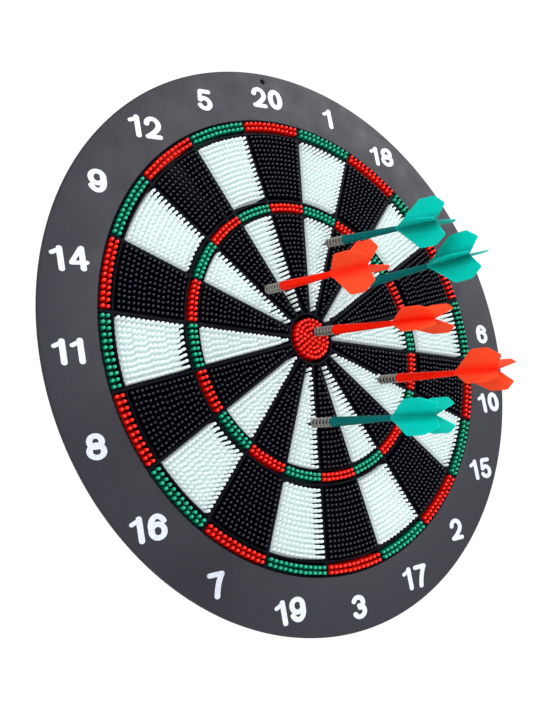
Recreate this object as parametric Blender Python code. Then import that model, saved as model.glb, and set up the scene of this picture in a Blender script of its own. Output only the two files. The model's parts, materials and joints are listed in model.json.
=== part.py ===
"""Soft-tip safety dartboard with six darts, hung flat on a wall.

Metres, +Z up. The board's flat back lies in the plane y = 0 and its face looks along -Y.
Places on the board are given as a radius, a turn clockwise from the top as seen from
the front, and a stand: the distance from the wall.
"""

import math

import bmesh
import bpy
from mathutils import Matrix, Vector

MM = 0.001

# Board: driving sizes
BOARD_RADIUS = 208 * MM
SECTORS = 20
SECTOR_TURN = 2 * math.pi / SECTORS
NUMBERS = (20, 1, 18, 4, 13, 6, 10, 15, 2, 17, 3, 19, 7, 16, 8, 11, 14, 9, 12, 5)
FIT_GAP = 0.3 * MM
CUT_PAST = 1 * MM
UNION_OVERLAP = 0.3 * MM
ROUND_MIDDLE = 1 - math.cos(math.radians(45))
ROUND_STEPS = 72
CARRIER_STEPS = 2 * SECTORS
HOLE_STEPS = 16
ARC_PIECE = 40 * MM

# Distances from the wall
TRAY_FLOOR = 2.2 * MM
MAT_BACK = TRAY_FLOOR + FIT_GAP
MAT_TOP = 6 * MM
MAT_ROOT = 1 * MM
FACE_STAND = 16 * MM
PIN_STAND = FACE_STAND + 2.5 * MM
PLATE_THICKNESS = 3 * MM
PLATE_BACK = FACE_STAND - PLATE_THICKNESS

# Number ring
OPENING_RADIUS = 169 * MM
EDGE_ROUND = 1 * MM
HANG_HOLE_RADIUS = 2 * MM
HANG_HOLE_CENTRE = 201.5 * MM
HANG_HOLE_TURN = math.radians(-0.4)
HANG_BOSS_RADIUS = 5 * MM
HANG_BOSS_BACK = 9.5 * MM

# Spider grid: ribs between the sectors and rings between the scoring bands. The playing
# field sits slightly turned in the number ring
FIELD_TURN = math.radians(-0.7)
SPOKE_HALF_WIDTH = 1.1 * MM
RIM_RADIUS = 172 * MM
RIM_INNER_RADIUS = 169.6 * MM
WALL_RADIUS = OPENING_RADIUS - FIT_GAP
WALL_INNER_RADIUS = WALL_RADIUS - 0.6 * MM
RIM_TOP = PLATE_BACK - FIT_GAP
DOUBLE_RIB = (157.65 * MM, 159.15 * MM)
TRIPLE_OUTER_RIB = (105.25 * MM, 106.75 * MM)
TRIPLE_INNER_RIB = (95.2 * MM, 96.3 * MM)
BULL_RIB = (18.2 * MM, 19.8 * MM)

# Pin pads: the space that each field of pins fills
PAD_SIDE = 2.15 * MM
DOUBLE_PAD = (160.2 * MM, 167.1 * MM)
OUTER_PAD = (108.4 * MM, 156.1 * MM)
TRIPLE_PAD = (97.0 * MM, 103.5 * MM)
INNER_PAD = (22.1 * MM, 94.5 * MM)
BULL_RADIUS = 15.4 * MM
PAD_FOOT = MAT_TOP + FIT_GAP

# Carrier rings, which join a scoring ring's ten pads of one colour under the ribs
CARRIER_TOP = PAD_FOOT + 1.7 * MM
CARRIER_WIDTH = 2.2 * MM
CARRIER_INSET = 0.4 * MM
FOOT_INSET = 0.5 * MM
RING_PAD_FOOT = CARRIER_TOP + 2 * FIT_GAP
GRID_BACK = RING_PAD_FOOT

# Tray behind the board
TRAY_INNER_RADIUS = RIM_RADIUS + 0.5 * MM
TRAY_RADIUS = TRAY_INNER_RADIUS + 2.5 * MM
TRAY_RIM = RIM_TOP
TRAY_EDGE_ROUND = 1.5 * MM

# Dart: distances along its axis from where it meets the pins' tips
TIP_RADIUS = 3.4 * MM
SHOULDER_DEPTH = 2.2 * MM
SHOULDER_RADIUS = 1.7 * MM
NOSE_DEPTH = 8 * MM
NOSE_RADIUS = 1.2 * MM
NOSE_ROUND = 0.5 * MM
TIP_LENGTH = 18 * MM
SOCKET_DEPTH = 7 * MM
SOCKET_RADIUS = 1.9 * MM
SPIGOT_RADIUS = 1.6 * MM
SPIGOT_LENGTH = 6.5 * MM
SHAFT_START = TIP_LENGTH + FIT_GAP
SHAFT_FRONT_RADIUS = 3.5 * MM
SHAFT_FRONT_ROUND = 1 * MM
SHAFT_REAR_RADIUS = 1.9 * MM
FLIGHT_START = TIP_LENGTH + 58 * MM
SHAFT_LENGTH = FLIGHT_START - FIT_GAP - SHAFT_START
TANG_RADIUS = 1 * MM
TANG_LENGTH = 8 * MM
BORE_RADIUS = TANG_RADIUS + FIT_GAP
BORE_LENGTH = TANG_LENGTH + 1 * MM
SPINE_FRONT_RADIUS = SHAFT_REAR_RADIUS
SPINE_REAR_RADIUS = 0.8 * MM
SPINE_END = TIP_LENGTH + 93 * MM
VANE_THICKNESS = 0.7 * MM
LEAD_CORNER = (TIP_LENGTH + 80 * MM, 16.6 * MM)
TOP_CORNER = (TIP_LENGTH + 94.2 * MM, 16.5 * MM)
TAIL_CORNER = (TIP_LENGTH + 103.2 * MM, 10.2 * MM)
NOTCH = TIP_LENGTH + 94.8 * MM
VANE_ROOT = FLIGHT_START + 1 * MM
DART_STEPS = 12
POCKET_PAST = 3 * MM

# Each dart: name, radius and turn where it stands in the pins, swing to the board's
# right, droop of its tail, and the turns of its flight's soft vanes (degrees)
DARTS = (
    ("teal_dart_1", 80.1 * MM, 23.9, -2.5, 11.2, (2, 92, 184, 273)),
    ("teal_dart_2", 62.9 * MM, 52.7, 1.1, 5, (1, 84, 182, 269)),
    ("teal_dart_3", 62.8 * MM, 192, 1.2, 7.2, (-46, 52, 136, 228)),
    ("red_dart_1", 49.1 * MM, -41.9, -5.1, 8.7, (-57, 15, 99, 192)),
    ("red_dart_2", 6.8 * MM, 48.3, 0.8, 10, (-59, 55, 123, 247)),
    ("red_dart_3", 69.1 * MM, 120.1, -2.1, 8.2, (-25, 68, 148, 244)),
)

COLOURS = {
    "ring_grey": ((0.085, 0.083, 0.088), 0.6),
    "grid_grey": ((0.045, 0.045, 0.05), 0.6),
    "tray_black": ((0.02, 0.02, 0.022), 0.55),
    "pin_black": ((0.008, 0.008, 0.01), 0.45),
    "pin_white": ((0.82, 0.9, 0.87), 0.4),
    "pin_red": ((0.75, 0.012, 0.004), 0.35),
    "pin_green": ((0.004, 0.27, 0.12), 0.35),
    "tip_grey": ((0.25, 0.24, 0.21), 0.55),
    "shaft_teal": ((0.004, 0.16, 0.14), 0.35),
    "flight_teal": ((0.004, 0.42, 0.34), 0.4),
    "shaft_red": ((0.8, 0.014, 0.004), 0.35),
    "flight_red": ((0.95, 0.06, 0.025), 0.4),
}


def clear_scene():
    for thing in list(bpy.data.objects):
        bpy.data.objects.remove(thing, do_unlink=True)


def material(slot):
    found = bpy.data.materials.get(slot)
    if found:
        return found
    colour, roughness = COLOURS[slot]
    made = bpy.data.materials.new(slot)
    made.use_nodes = True
    shader = made.node_tree.nodes["Principled BSDF"]
    shader.inputs["Base Color"].default_value = (*colour, 1)
    shader.inputs["Roughness"].default_value = roughness
    shader.inputs["Metallic"].default_value = 0
    return made


def board_point(radius, turn, stand):
    return Vector((radius * math.sin(turn), -stand, radius * math.cos(turn)))


def add_object(name, mesh, slot=None):
    thing = bpy.data.objects.new(name, mesh)
    bpy.context.collection.objects.link(thing)
    if slot:
        mesh.materials.append(material(slot))
    return thing


def finished_mesh(name, shape):
    """A mesh from a bmesh, with its faces turned outwards."""
    bmesh.ops.recalc_face_normals(shape, faces=shape.faces)
    mesh = bpy.data.meshes.new(name)
    shape.to_mesh(mesh)
    shape.free()
    return mesh


def smooth(thing):
    thing.data.shade_smooth()
    thing.data.set_sharp_from_angle(angle=math.radians(30))


def turned_mesh(name, profile, place, steps, closed=False):
    """Turns a profile of (radius, distance) points round an axis.

    place(radius, turn, distance) gives the point in space. A closed profile makes a
    ring; an open one is capped flat at both ends.
    """
    shape = bmesh.new()
    circles = []
    for radius, distance in profile:
        turns = [2 * math.pi * step / steps for step in range(steps)]
        circles.append([shape.verts.new(place(radius, turn, distance)) for turn in turns])
    pairs = list(zip(circles, circles[1:]))
    if closed:
        pairs.append((circles[-1], circles[0]))
    for near, far in pairs:
        for step in range(steps):
            after = (step + 1) % steps
            shape.faces.new((near[step], near[after], far[after], far[step]))
    if not closed:
        shape.faces.new(circles[0])
        shape.faces.new(circles[-1])
    return finished_mesh(name, shape)


def add_prism(shape, outline, back, front):
    """Adds a closed prism between two distances from the wall to a bmesh."""
    low = [shape.verts.new(board_point(radius, turn, back)) for radius, turn in outline]
    high = [shape.verts.new(board_point(radius, turn, front)) for radius, turn in outline]
    shape.faces.new(low)
    shape.faces.new(high)
    count = len(outline)
    for step in range(count):
        after = (step + 1) % count
        shape.faces.new((low[step], low[after], high[after], high[step]))


def sector_outline(sector, band, side):
    """Outline of one sector's cell: arcs between two lines set in from the sector's edges."""
    inner, outer = band
    middle = FIELD_TURN + sector * SECTOR_TURN
    points = []
    for radius, direction in ((inner, 1), (outer, -1)):
        half = SECTOR_TURN / 2 - math.asin(side / radius)
        pieces = max(1, round(radius / ARC_PIECE))
        for step in range(pieces + 1):
            share = 2 * step / pieces - 1
            points.append((radius, middle + direction * share * half))
    return points


def cut(thing, cutter, operation="DIFFERENCE"):
    """Applies a Boolean with another object and removes that object."""
    modifier = thing.modifiers.new("cut", "BOOLEAN")
    modifier.operation = operation
    modifier.solver = "EXACT"
    modifier.object = cutter
    bpy.context.view_layer.update()
    graph = bpy.context.evaluated_depsgraph_get()
    result = bpy.data.meshes.new_from_object(thing.evaluated_get(graph))
    thing.modifiers.clear()
    thing.data = result
    bpy.data.objects.remove(cutter, do_unlink=True)


def cell_cutter():
    """Every opening between the ribs, as prisms that run right through the grid."""
    shape = bmesh.new()
    bands = (
        (BULL_RIB[1], TRIPLE_INNER_RIB[0]),
        (TRIPLE_INNER_RIB[1], TRIPLE_OUTER_RIB[0]),
        (TRIPLE_OUTER_RIB[1], DOUBLE_RIB[0]),
        (DOUBLE_RIB[1], WALL_INNER_RADIUS),
    )
    for sector in range(SECTORS):
        for band in bands:
            outline = sector_outline(sector, band, SPOKE_HALF_WIDTH)
            add_prism(shape, outline, GRID_BACK - CUT_PAST, FACE_STAND + CUT_PAST)
    bull = [(BULL_RIB[0], SECTOR_TURN * step) for step in range(SECTORS)]
    add_prism(shape, bull, GRID_BACK - CUT_PAST, FACE_STAND + CUT_PAST)
    return add_object("cell_cutter", finished_mesh("cell_cutter", shape))


def make_spider_grid():
    """Lattice of ribs, flush with the number ring, on a rim that stands on the mat."""
    profile = (
        (RIM_INNER_RADIUS, GRID_BACK),
        (RIM_INNER_RADIUS, PAD_FOOT),
        (RIM_RADIUS, PAD_FOOT),
        (RIM_RADIUS, RIM_TOP),
        (WALL_RADIUS, RIM_TOP),
        (WALL_RADIUS, FACE_STAND),
    )
    mesh = turned_mesh("spider_grid", profile, board_point, ROUND_STEPS)
    grid = add_object("spider_grid", mesh, "grid_grey")
    cut(grid, cell_cutter())
    smooth(grid)


def at_hanging_hole(name, profile):
    mesh = turned_mesh(name, profile, board_point, HOLE_STEPS)
    thing = add_object(name, mesh)
    thing.location = board_point(HANG_HOLE_CENTRE, HANG_HOLE_TURN, 0)
    return thing


def hanging_boss():
    """Round boss behind the ring that makes the hanging hole deeper."""
    profile = (
        (HANG_BOSS_RADIUS, HANG_BOSS_BACK),
        (HANG_BOSS_RADIUS, PLATE_BACK + CUT_PAST),
    )
    return at_hanging_hole("hanging_boss", profile)


def hanging_hole_cutter():
    profile = (
        (HANG_HOLE_RADIUS, HANG_BOSS_BACK - CUT_PAST),
        (HANG_HOLE_RADIUS, FACE_STAND + CUT_PAST),
    )
    return at_hanging_hole("hanging_hole", profile)


def make_number_ring():
    """Flat ring round the grid that carries the sectors' numbers, with the hole it hangs by."""
    profile = (
        (OPENING_RADIUS, PLATE_BACK),
        (OPENING_RADIUS, FACE_STAND),
        (BOARD_RADIUS - EDGE_ROUND, FACE_STAND),
        (BOARD_RADIUS - ROUND_MIDDLE * EDGE_ROUND, FACE_STAND - ROUND_MIDDLE * EDGE_ROUND),
        (BOARD_RADIUS, FACE_STAND - EDGE_ROUND),
        (BOARD_RADIUS, PLATE_BACK + EDGE_ROUND / 2),
        (BOARD_RADIUS - EDGE_ROUND / 2, PLATE_BACK),
    )
    mesh = turned_mesh("number_ring", profile, board_point, ROUND_STEPS, closed=True)
    ring = add_object("number_ring", mesh, "ring_grey")
    cut(ring, hanging_boss(), "UNION")
    cut(ring, hanging_hole_cutter())
    smooth(ring)


def make_back_tray():
    """Shallow round tray that closes the back and lies on the wall."""
    profile = (
        (TRAY_INNER_RADIUS, TRAY_FLOOR),
        (TRAY_INNER_RADIUS, TRAY_RIM),
        (TRAY_RADIUS, TRAY_RIM),
        (TRAY_RADIUS, TRAY_EDGE_ROUND),
        (TRAY_RADIUS - ROUND_MIDDLE * TRAY_EDGE_ROUND, ROUND_MIDDLE * TRAY_EDGE_ROUND),
        (TRAY_RADIUS - TRAY_EDGE_ROUND, 0),
    )
    mesh = turned_mesh("back_tray", profile, board_point, ROUND_STEPS)
    smooth(add_object("back_tray", mesh, "tray_black"))


def make_black_mat():
    """Rubber mat under all the pins, with the black sectors' pins moulded on it."""
    profile = ((RIM_RADIUS, MAT_BACK), (RIM_RADIUS, MAT_TOP))
    mesh = turned_mesh("black_pin_mat", profile, board_point, ROUND_STEPS)
    mat = add_object("black_pin_mat", mesh, "pin_black")
    shape = bmesh.new()
    root = MAT_TOP - MAT_ROOT
    for sector in range(0, SECTORS, 2):
        for band in (OUTER_PAD, INNER_PAD):
            add_prism(shape, sector_outline(sector, band, PAD_SIDE), root, PIN_STAND)
    blocks = add_object("black_blocks", finished_mesh("black_blocks", shape))
    cut(mat, blocks, "UNION")
    return mat


def make_white_pad(sector, part, band):
    """White pins of one sector, inside or outside the triple ring."""
    name = "white_" + part + "_pad_" + str(NUMBERS[sector])
    shape = bmesh.new()
    add_prism(shape, sector_outline(sector, band, PAD_SIDE), PAD_FOOT, PIN_STAND)
    return add_object(name, finished_mesh(name, shape), "pin_white")


def make_ring_pads(name, pad, carrier_inner, first_sector, slot):
    """Ten pads of one colour on one carrier ring, which runs under the ribs."""
    inner, outer = carrier_inner, carrier_inner + CARRIER_WIDTH
    profile = ((inner, PAD_FOOT), (inner, CARRIER_TOP), (outer, CARRIER_TOP), (outer, PAD_FOOT))
    mesh = turned_mesh(name, profile, board_point, CARRIER_STEPS, closed=True)
    ring = add_object(name, mesh, slot)
    foot_band = (inner + FOOT_INSET, outer - FOOT_INSET)
    feet = bmesh.new()
    blocks = bmesh.new()
    for sector in range(first_sector, SECTORS, 2):
        foot = sector_outline(sector, foot_band, PAD_SIDE + FOOT_INSET)
        add_prism(feet, foot, PAD_FOOT + FOOT_INSET, RING_PAD_FOOT + FOOT_INSET)
        add_prism(blocks, sector_outline(sector, pad, PAD_SIDE), RING_PAD_FOOT, PIN_STAND)
    cut(ring, add_object("feet", finished_mesh("feet", feet)), "UNION")
    cut(ring, add_object("blocks", finished_mesh("blocks", blocks)), "UNION")


def make_scoring_rings():
    """Double and triple rings: red where the sector is black, green where it is white."""
    for ring, pad in (("double", DOUBLE_PAD), ("triple", TRIPLE_PAD)):
        red_carrier = pad[0] + CARRIER_INSET
        green_carrier = pad[1] - CARRIER_INSET - CARRIER_WIDTH
        make_ring_pads("red_" + ring + "_ring", pad, red_carrier, 0, "pin_red")
        make_ring_pads("green_" + ring + "_ring", pad, green_carrier, 1, "pin_green")


def make_bull_pad():
    profile = ((BULL_RADIUS, PAD_FOOT), (BULL_RADIUS, PIN_STAND))
    mesh = turned_mesh("bullseye_pad", profile, board_point, CARRIER_STEPS)
    bull = add_object("bullseye_pad", mesh, "pin_red")
    smooth(bull)
    return bull


def dart_matrix(radius, turn, swing, droop):
    """Dart's own frame: +Z from the nose to the tail, +Y up, origin at the pins' tips."""
    tail = Matrix.Rotation(math.radians(swing), 4, "Z") @ Matrix.Rotation(math.radians(droop), 4, "X")
    backwards = Matrix(((1, 0, 0, 0), (0, 0, -1, 0), (0, 1, 0, 0), (0, 0, 0, 1)))
    place = board_point(radius, math.radians(turn), PIN_STAND)
    return Matrix.Translation(place) @ tail @ backwards


def axis_point(radius, turn, distance):
    return Vector((radius * math.sin(turn), radius * math.cos(turn), distance))


def tip_profile():
    """Soft tip: the socket for the shaft, the outer wall and the tapering nose."""
    return (
        (SOCKET_RADIUS, TIP_LENGTH - SOCKET_DEPTH),
        (SOCKET_RADIUS, TIP_LENGTH),
        (TIP_RADIUS, TIP_LENGTH),
        (TIP_RADIUS, 0),
        (SHOULDER_RADIUS, -SHOULDER_DEPTH),
        (NOSE_RADIUS, NOSE_ROUND - NOSE_DEPTH),
        (NOSE_RADIUS - NOSE_ROUND, -NOSE_DEPTH),
    )


def shaft_profile():
    """Tapering shaft with a spigot for the tip's socket and a tang for the flight's bore."""
    rear = SHAFT_START + SHAFT_LENGTH
    middle = ROUND_MIDDLE * SHAFT_FRONT_ROUND
    return (
        (SPIGOT_RADIUS, SHAFT_START - SPIGOT_LENGTH),
        (SPIGOT_RADIUS, SHAFT_START),
        (SHAFT_FRONT_RADIUS - SHAFT_FRONT_ROUND, SHAFT_START),
        (SHAFT_FRONT_RADIUS - middle, SHAFT_START + middle),
        (SHAFT_FRONT_RADIUS, SHAFT_START + SHAFT_FRONT_ROUND),
        (SHAFT_REAR_RADIUS, rear),
        (TANG_RADIUS, rear),
        (TANG_RADIUS, rear + TANG_LENGTH),
    )


def add_vane(shape, turn):
    """One flat vane, from just inside the spine out to its swept corners."""
    foot = (SPINE_FRONT_RADIUS + BORE_RADIUS) / 2
    outline = (
        (VANE_ROOT, SPINE_FRONT_RADIUS - UNION_OVERLAP / 2),
        LEAD_CORNER,
        TOP_CORNER,
        TAIL_CORNER,
        (NOTCH, SPINE_REAR_RADIUS),
        (SPINE_END - UNION_OVERLAP, SPINE_REAR_RADIUS / 2),
        (VANE_ROOT + BORE_LENGTH, foot),
        (VANE_ROOT, foot - UNION_OVERLAP / 2),
    )
    turned = Matrix.Rotation(-turn, 3, "Z")
    sides = []
    for across in (-VANE_THICKNESS / 2, VANE_THICKNESS / 2):
        sides.append([shape.verts.new(turned @ Vector((across, out, along))) for along, out in outline])
    shape.faces.new(sides[0])
    shape.faces.new(sides[1])
    count = len(outline)
    for step in range(count):
        after = (step + 1) % count
        shape.faces.new((sides[0][step], sides[0][after], sides[1][after], sides[1][step]))


def make_flight(name, vane_turns):
    """Four vanes on a tapering spine, with a bore for the shaft's tang."""
    profile = (
        (BORE_RADIUS, FLIGHT_START + BORE_LENGTH),
        (BORE_RADIUS, FLIGHT_START),
        (SPINE_FRONT_RADIUS, FLIGHT_START),
        (SPINE_REAR_RADIUS, SPINE_END),
    )
    spine = add_object(name, turned_mesh(name, profile, axis_point, DART_STEPS))
    for turn in vane_turns:
        shape = bmesh.new()
        add_vane(shape, math.radians(turn))
        cut(spine, add_object("vane", finished_mesh("vane", shape)), "UNION")
    return spine


def add_dart_piece(piece, slot, carrier):
    piece.data.materials.clear()
    piece.data.materials.append(material(slot))
    piece.parent = carrier
    smooth(piece)


def make_dart(name, radius, turn, swing, droop, vane_turns):
    """Tip, shaft and flight on one carrier whose Z axis is the way the dart pulls out."""
    colour = name.split("_")[0]
    carrier = bpy.data.objects.new(name, None)
    bpy.context.collection.objects.link(carrier)
    carrier.matrix_world = dart_matrix(radius, turn, swing, droop)
    tip = add_object(name + "_tip", turned_mesh(name, tip_profile(), axis_point, DART_STEPS))
    shaft = add_object(name + "_shaft", turned_mesh(name, shaft_profile(), axis_point, DART_STEPS))
    flight = make_flight(name + "_flight", vane_turns)
    add_dart_piece(tip, "tip_grey", carrier)
    add_dart_piece(shaft, "shaft_" + colour, carrier)
    add_dart_piece(flight, "flight_" + colour, carrier)


def pocket_cutter(radius, turn, swing, droop):
    """The room that a dart's nose takes between the pins."""
    profile = (
        (NOSE_RADIUS + FIT_GAP, -NOSE_DEPTH - FIT_GAP),
        (SHOULDER_RADIUS + FIT_GAP, -SHOULDER_DEPTH - FIT_GAP),
        (TIP_RADIUS + FIT_GAP, -FIT_GAP),
        (TIP_RADIUS + FIT_GAP, POCKET_PAST),
    )
    cutter = add_object("pocket", turned_mesh("pocket", profile, axis_point, DART_STEPS))
    cutter.matrix_world = dart_matrix(radius, turn, swing, droop)
    return cutter


def pad_under(radius, turn, white_pads, black_mat, bull):
    if radius < BULL_RADIUS:
        return bull
    sector = round((math.radians(turn) - FIELD_TURN) / SECTOR_TURN) % SECTORS
    return white_pads.get(sector, black_mat)


def build():
    clear_scene()
    make_number_ring()
    make_spider_grid()
    make_back_tray()
    black_mat = make_black_mat()
    make_scoring_rings()
    bull = make_bull_pad()
    inner_pads = {}
    for sector in range(1, SECTORS, 2):
        make_white_pad(sector, "outer", OUTER_PAD)
        inner_pads[sector] = make_white_pad(sector, "inner", INNER_PAD)
    for name, radius, turn, swing, droop, vane_turns in DARTS:
        make_dart(name, radius, turn, swing, droop, vane_turns)
        pad = pad_under(radius, turn, inner_pads, black_mat, bull)
        cut(pad, pocket_cutter(radius, turn, swing, droop))


build()
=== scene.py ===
"""Looks of the soft-tip safety dartboard and its six darts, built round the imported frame.

Metres, +Z up. The board's back lies in the plane y = 0 and its face looks along -Y. Places
on the board are a radius, a turn clockwise from the top as seen from the front, and a
stand: the distance from the wall.
"""

import json
import math

import bmesh
import bpy
import numpy as np
from mathutils import Matrix, Vector

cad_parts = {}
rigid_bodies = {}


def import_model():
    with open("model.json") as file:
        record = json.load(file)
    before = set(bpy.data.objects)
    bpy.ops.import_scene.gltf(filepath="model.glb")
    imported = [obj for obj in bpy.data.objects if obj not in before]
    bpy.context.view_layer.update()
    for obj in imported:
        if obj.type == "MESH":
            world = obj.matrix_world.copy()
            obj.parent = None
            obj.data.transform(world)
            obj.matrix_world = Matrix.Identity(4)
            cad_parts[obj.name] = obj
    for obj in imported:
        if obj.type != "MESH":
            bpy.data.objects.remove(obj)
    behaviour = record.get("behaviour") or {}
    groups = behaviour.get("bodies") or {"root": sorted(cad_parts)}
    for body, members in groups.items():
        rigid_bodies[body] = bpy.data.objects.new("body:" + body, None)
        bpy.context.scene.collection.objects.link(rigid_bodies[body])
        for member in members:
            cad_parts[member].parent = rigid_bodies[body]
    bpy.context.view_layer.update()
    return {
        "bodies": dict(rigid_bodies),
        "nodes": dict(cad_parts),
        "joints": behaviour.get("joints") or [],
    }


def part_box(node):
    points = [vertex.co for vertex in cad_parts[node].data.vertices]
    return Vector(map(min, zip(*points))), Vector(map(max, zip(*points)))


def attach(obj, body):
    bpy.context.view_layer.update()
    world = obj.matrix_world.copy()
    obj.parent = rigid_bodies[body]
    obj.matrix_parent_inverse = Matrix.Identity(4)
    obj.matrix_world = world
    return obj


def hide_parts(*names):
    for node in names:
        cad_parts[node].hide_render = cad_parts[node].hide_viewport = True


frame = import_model()

MM = 0.001
SECTORS = 20
SECTOR_TURN = 2 * math.pi / SECTORS
NUMBERS = (20, 1, 18, 4, 13, 6, 10, 15, 2, 17, 3, 19, 7, 16, 8, 11, 14, 9, 12, 5)
BOARD = "board"
RANDOM = np.random.default_rng(20)
FIT_GAP = 0.3 * MM
CUT_PAST = 1 * MM

# Sizes read from the frame
BOARD_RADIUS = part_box("number_ring")[1].x
FACE_STAND = -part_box("number_ring")[0].y
HANG_BOSS_BACK = -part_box("number_ring")[1].y
PIN_STAND = -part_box("white_outer_pad_1")[0].y
PAD_FOOT = -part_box("white_outer_pad_1")[1].y
RIM_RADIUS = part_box("spider_grid")[1].x
MAT_BACK = -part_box("black_pin_mat")[1].y
MAT_TOP = PAD_FOOT - FIT_GAP
TRAY_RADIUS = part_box("back_tray")[1].x
TRAY_RIM = -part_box("back_tray")[0].y
RIM_TOP = TRAY_RIM
PLATE_BACK = TRAY_RIM + FIT_GAP
TRAY_FLOOR = MAT_BACK - FIT_GAP

# Number ring
OPENING_RADIUS = 169 * MM
PLATE_EDGE_ROUND = 1.2 * MM
OPENING_EDGE_ROUND = 0.3 * MM
PLATE_STEPS = 240
HANG_HOLE_RADIUS = 2 * MM
HANG_HOLE_CENTRE = 201.5 * MM
HANG_HOLE_TURN = math.radians(-0.4)
HANG_BOSS_RADIUS = 5 * MM
HOLE_CHAMFER = 0.35 * MM
HOLE_STEPS = 32

# The playing field sits slightly turned in the number ring
FIELD_TURN = math.radians(-0.7)

# Spider grid
SPOKE_HALF_WIDTH = 1.1 * MM
WALL_RADIUS = OPENING_RADIUS - FIT_GAP
WALL_INNER_RADIUS = WALL_RADIUS - 0.6 * MM
DOUBLE_RIB = (157.65 * MM, 159.15 * MM)
TRIPLE_OUTER_RIB = (105.25 * MM, 106.75 * MM)
TRIPLE_INNER_RIB = (95.2 * MM, 96.3 * MM)
BULL_RIB = (18.2 * MM, 19.8 * MM)
RIM_INNER_RADIUS = 169.6 * MM
RIB_ROUND = 0.4 * MM
ARC_STEPS = 8
GRID_STEPS = SECTORS * ARC_STEPS

# Pads: a foot plate with rows of pins
PAD_SIDE = 2.15 * MM
FOOT_SIDE = 2.9 * MM
DOUBLE_PAD = (160.2 * MM, 167.1 * MM)
OUTER_PAD = (108.4 * MM, 156.1 * MM)
TRIPLE_PAD = (97.0 * MM, 103.5 * MM)
INNER_PAD = (22.1 * MM, 94.5 * MM)
BULL_RADIUS = 15.4 * MM
FOOT_THICKNESS = 1.2 * MM
CARRIER_HEIGHT = 1.7 * MM
CARRIER_WIDTH = 2.2 * MM
CARRIER_INSET = 0.4 * MM
RING_PAD_FOOT = PAD_FOOT + CARRIER_HEIGHT + 2 * FIT_GAP
FOOT_INSET = 0.5 * MM
FOOT_OVERLAP = 0.3 * MM
MAT_ROOT = 0.5 * MM
PIN_ROOT = FOOT_THICKNESS / 2
GRID_BACK = RING_PAD_FOOT

# Pins: radius, and the rows they stand in
SINGLE_PIN = 1.05 * MM
DOUBLE_PIN = 1.22 * MM
TRIPLE_PIN = 1.2 * MM
BULL_PIN = 1.35 * MM
ROW_END_GAP = 3.35 * MM
PIN_SPACING = 3.75 * MM
OUTER_ROWS = (14, 109.8 * MM, 155.3 * MM)
INNER_ROWS = (21, 23.3 * MM, 93.5 * MM)
DOUBLE_ROWS = (162.2 * MM, 165.9 * MM)
DOUBLE_PINS = (12, math.radians(7.92))
TRIPLE_ROWS = (98.8 * MM, 102.1 * MM)
TRIPLE_PINS = (8, math.radians(7.67))
BULL_ROWS = 4
BULL_OUTER_ROW = 14.0 * MM
BULL_STEPS = 64
PIN_SIDES = 10
PIN_TAPER = 1.03
PIN_LEAN = 0.1 * MM
PIN_UNEVEN = 0.12 * MM
# Pins round a dart: rounds of settling, how strongly they pull back to their own places,
# and how far they may press against the nose and lean over a rib
PARTED_ROUNDS = 40
PULL_BACK = 0.1
TIP_TOUCH = 0.4 * MM
TIP_TOUCH_SHARE = 0.75
OVER_RIB = 0.6 * MM
BENT_LEVELS = 4
LEAST_BEND = 0.05 * MM
LEAST = 0.01 * MM

# Tray behind the board
TRAY_GAP = 0.5 * MM
TRAY_EDGE_ROUND = 1.5 * MM
TRAY_RIM_ROUND = 0.3 * MM
TRAY_GROOVES = (158 * MM, 104 * MM, 50 * MM)
GROOVE_DEPTH = 0.8 * MM
GROOVE_HALF_WIDTH = 2.5 * MM
GROOVE_SLOPE = 0.6 * MM

# Darts: distances along the axis from where the dart meets the pins' tips
TIP_RADIUS = 3.4 * MM
TIP_LENGTH = 18 * MM
TIP_GROOVES = 5
GROOVE_PITCH = 3.5 * MM
GROOVE_WIDTH = 2.4 * MM
GROOVE_START = 0.6 * MM
GROOVE_EDGE = 0.12 * MM
TIP_END_ROUND = 0.2 * MM
TIP_TURNS = [2 * math.pi * step / 48 for step in range(48)]
# How far each tip's web is turned from the dart's up, in degrees
TIP_WEBS = {
    "teal_dart_1": 225,
    "teal_dart_2": 225,
    "teal_dart_3": 225,
    "red_dart_1": 240,
    "red_dart_2": 270,
    "red_dart_3": 310,
}
WEB_HALF_WIDTH = 1.1 * MM
WEB_RADIUS = 2.8 * MM
SHOULDER_DEPTH = 2.2 * MM
SHOULDER_RADIUS = 1.7 * MM
NOSE_DEPTH = 8 * MM
NOSE_RADIUS = 1.2 * MM
NOSE_ROUND = 0.5 * MM
SHAFT_START = TIP_LENGTH + FIT_GAP
SHAFT_FRONT_RADIUS = 3.5 * MM
SHAFT_FRONT_ROUND = 1.6 * MM
SHAFT_REAR_RADIUS = 1.9 * MM
SHAFT_END_GAP = 0.05 * MM
FLIGHT_START = TIP_LENGTH + 58 * MM
SPINE_REAR_RADIUS = 0.7 * MM
SPINE_END = TIP_LENGTH + 93 * MM
VANE_SPREAD = math.radians(20)
VANE_THICKNESS = 0.6 * MM
VANE_ROOT_THICKNESS = 1.3 * MM
VANE_CORNER_CUT = 1.6 * MM
VANE_EDGE = 0.12 * MM
WEB_REACH = 3.2 * MM
WEB_FOOT = 0.2 * MM
LEAD_CORNER = (TIP_LENGTH + 80 * MM, 16.6 * MM)
TOP_CORNER = (TIP_LENGTH + 94.2 * MM, 16.5 * MM)
TAIL_CORNER = (TIP_LENGTH + 103.2 * MM, 10.2 * MM)
NOTCH = TIP_LENGTH + 94.8 * MM
NOTCH_SLOPE = 1.2 * MM
SPINE_TAIL_RADIUS = SPINE_REAR_RADIUS * 0.6
VANE_FOOT = SPINE_REAR_RADIUS * 0.4
VANE_START = (FLIGHT_START + 0.3 * MM, SHAFT_REAR_RADIUS - 0.2 * MM)
WEB_START = FLIGHT_START + 1.5 * MM
WEB_END = NOTCH - 2 * MM
WEB_END_SHARE = 0.55
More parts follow.
